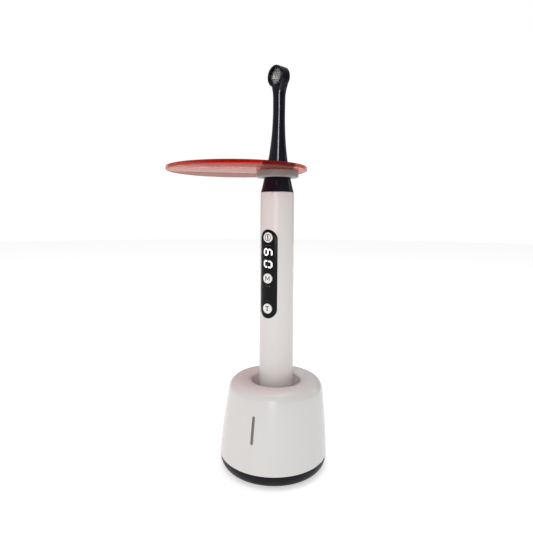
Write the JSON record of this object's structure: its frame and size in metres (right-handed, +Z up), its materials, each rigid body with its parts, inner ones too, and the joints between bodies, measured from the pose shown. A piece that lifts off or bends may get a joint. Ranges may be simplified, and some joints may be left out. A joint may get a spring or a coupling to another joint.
{
  "type": "dental curing light",
  "caption": "Pen-type dental curing light standing in a round charging dock, with a turnable lamp head, a lift-off light shield, push buttons and a digit display.",
  "frame": {"origin": "on the table, on the axis of the handpiece as it stands in the dock", "axes": "+Z up along the handpiece, -Y is the dock's front, where its indicator bar is, +X to the right seen from the front"},
  "size_m": [0.1047, 0.089, 0.2533],
  "materials": {
    "dock_white": "glossy injection-moulded ABS, white",
    "cover_black": "satin moulded ABS, black",
    "pad_rubber": "soft non-slip rubber",
    "screw_steel": "zinc-plated steel",
    "ballast_steel": "plain steel plate",
    "board_green": "glass-epoxy circuit board",
    "insulator_black": "moulded nylon, black",
    "contact_gold": "gold-plated brass",
    "spring_steel": "spring wire",
    "indicator_smoke": "smoked translucent light guide, unlit",
    "led_white": "small light source in a white case",
    "barrel_white": "satin-gloss lacquered white",
    "seal_rubber": "nitrile rubber ring",
    "panel_black": "glossy black acrylic",
    "digit_glow": "lit white diffuser",
    "button_grey": "light grey moulded keycap",
    "component_black": "moulded component case",
    "capacitor_metal": "aluminium can",
    "carrier_white": "natural moulded nylon",
    "battery_wrap": "shrink-wrapped cell",
    "head_black": "polished black anodised aluminium",
    "copper": "copper",
    "lead_red": "insulated wire",
    "reflector_chrome": "vacuum-metallised reflector",
    "lens_clear": "clear polished lens",
    "shield_red": "translucent red acrylic",
    "grommet_grey": "grey silicone",
    "emitter_yellow": "phosphor-coated light source"
  },
  "bodies": {
    "dock": {"dock_housing": "dock_white", "bottom_cover": "cover_black", "base_pad": "pad_rubber", "cover_screws": "screw_steel", "ballast_plate": "ballast_steel", "dock_board": "board_green", "dock_board_screws": "screw_steel", "contact_block": "insulator_black", "pin_sleeves": "contact_gold", "power_inlet": "insulator_black", "indicator_bar": "indicator_smoke", "indicator_board": "board_green", "indicator_leds": "led_white", "centre_pin_spring": "spring_steel", "ring_pin_spring": "spring_steel"},
    "centre_pin": {"centre_pin": "contact_gold"},
    "ring_pin": {"ring_pin": "contact_gold"},
    "tail": {"tail_cap": "barrel_white", "tail_seal": "seal_rubber", "contact_holder": "insulator_black", "centre_contact": "contact_gold", "ring_contact": "contact_gold", "battery_spring": "spring_steel"},
    "handle": {"barrel": "barrel_white", "window_panel": "panel_black", "digit_segments": "digit_glow", "display_module": "component_black", "switches": "component_black", "main_board": "board_green", "controller_chip": "component_black", "inductor": "component_black", "capacitors": "capacitor_metal", "buzzer": "component_black", "carrier": "carrier_white", "handle_screws": "screw_steel", "battery": "battery_wrap", "battery_contact": "contact_gold", "coaxial_socket": "insulator_black"},
    "power_button": {"power_button": "button_grey"},
    "mode_button": {"mode_button": "button_grey"},
    "time_button": {"time_button": "button_grey"},
    "head": {"head_shell": "head_black", "head_seal": "seal_rubber", "snap_ring": "spring_steel", "coaxial_plug": "contact_gold", "plug_holder": "insulator_black", "led_leads": "lead_red", "heat_slug": "copper", "led_board": "board_green", "led_emitter": "emitter_yellow", "reflector": "reflector_chrome", "lens": "lens_clear", "lens_bezel": "head_black"},
    "shield_mount": {"shield_grommet": "grommet_grey"},
    "shield": {"shield_disc": "shield_red"}
  },
  "joints": [
    {"name": "handpiece_lift", "type": "slide", "parent": "dock", "child": "tail", "axis": [0, 0, 1], "range_m": [0, 0.05]},
    {"name": "handpiece_turn", "type": "hinge", "parent": "tail", "child": "handle", "pos_m": [0, 0, 0.03], "axis": [0, 0, 1], "continuous": true},
    {"name": "head_turn", "type": "hinge", "parent": "handle", "child": "head", "pos_m": [0, 0, 0.172], "axis": [0, 0, 1], "continuous": true},
    {"name": "shield_lift", "type": "slide", "parent": "head", "child": "shield_mount", "axis": [0, 0, 1], "range_m": [0, 0.072]},
    {"name": "shield_turn", "type": "hinge", "parent": "shield_mount", "child": "shield", "pos_m": [0, 0, 0.1912], "axis": [0, 0, 1], "continuous": true},
    {"name": "power_press", "type": "slide", "parent": "handle", "child": "power_button", "axis": [0.1478, 0.989, 0], "range_m": [0, 0.0003], "stiffness_N_per_m": 2000, "springref_m": -0.0003},
    {"name": "mode_press", "type": "slide", "parent": "handle", "child": "mode_button", "axis": [0.1478, 0.989, 0], "range_m": [0, 0.0003], "stiffness_N_per_m": 2000, "springref_m": -0.0003},
    {"name": "time_press", "type": "slide", "parent": "handle", "child": "time_button", "axis": [0.1478, 0.989, 0], "range_m": [0, 0.0003], "stiffness_N_per_m": 2000, "springref_m": -0.0003},
    {"name": "centre_pin_press", "type": "slide", "parent": "dock", "child": "centre_pin", "axis": [0, 0, -1], "range_m": [0, 0.001], "stiffness_N_per_m": 500, "springref_m": -0.0005, "deforming": ["centre_pin_spring"]},
    {"name": "ring_pin_press", "type": "slide", "parent": "dock", "child": "ring_pin", "axis": [0, 0, -1], "range_m": [0, 0.001], "stiffness_N_per_m": 500, "springref_m": -0.0005, "deforming": ["ring_pin_spring"]}
  ]
}
